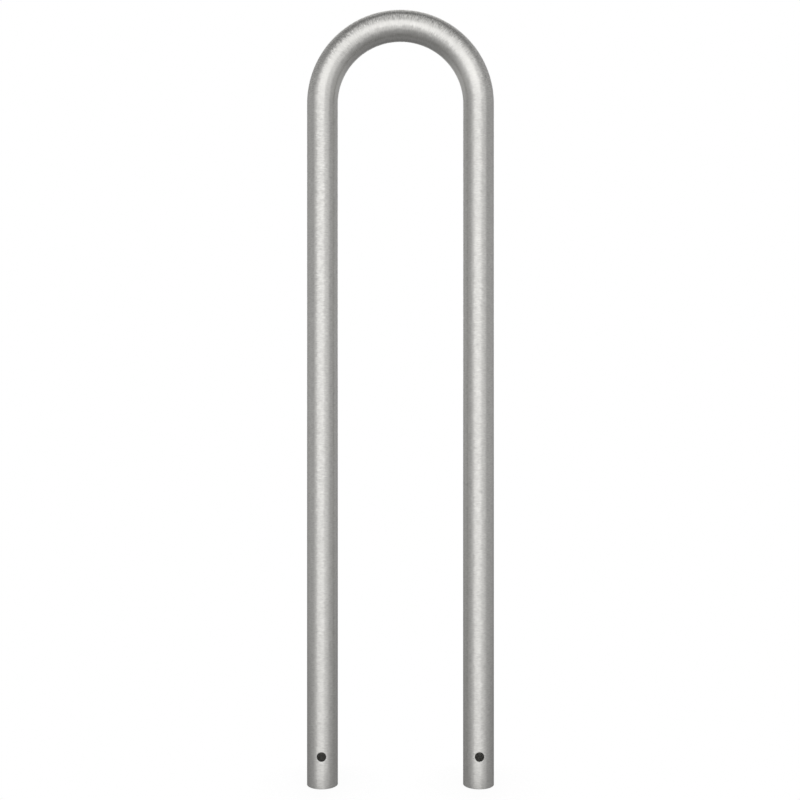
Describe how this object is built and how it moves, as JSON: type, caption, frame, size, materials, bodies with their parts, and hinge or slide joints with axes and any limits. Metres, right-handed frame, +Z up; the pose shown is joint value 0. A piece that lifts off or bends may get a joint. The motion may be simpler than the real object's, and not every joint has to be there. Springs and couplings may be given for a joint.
{
  "type": "hoop bike rack",
  "caption": "Tall narrow hoop of satin stainless tube with a round top bend and drilled open feet that are set in concrete, to lock a bicycle to.",
  "frame": {"origin": "midway between the two feet, on the plane of their sawn ends", "axes": "+Z up along the legs, +X from the left leg to the right leg, -Y the front"},
  "size_m": [0.2934, 0.0484, 1.215],
  "materials": {
    "satin_tube": "satin stainless, ground around the tube",
    "ground_weld": "stainless weld ground flush and blended in"
  },
  "bodies": {
    "root": {"left_leg": "satin_tube", "left_weld": "ground_weld", "right_leg": "satin_tube", "right_weld": "ground_weld", "top_bend": "satin_tube"}
  },
  "joints": []
}
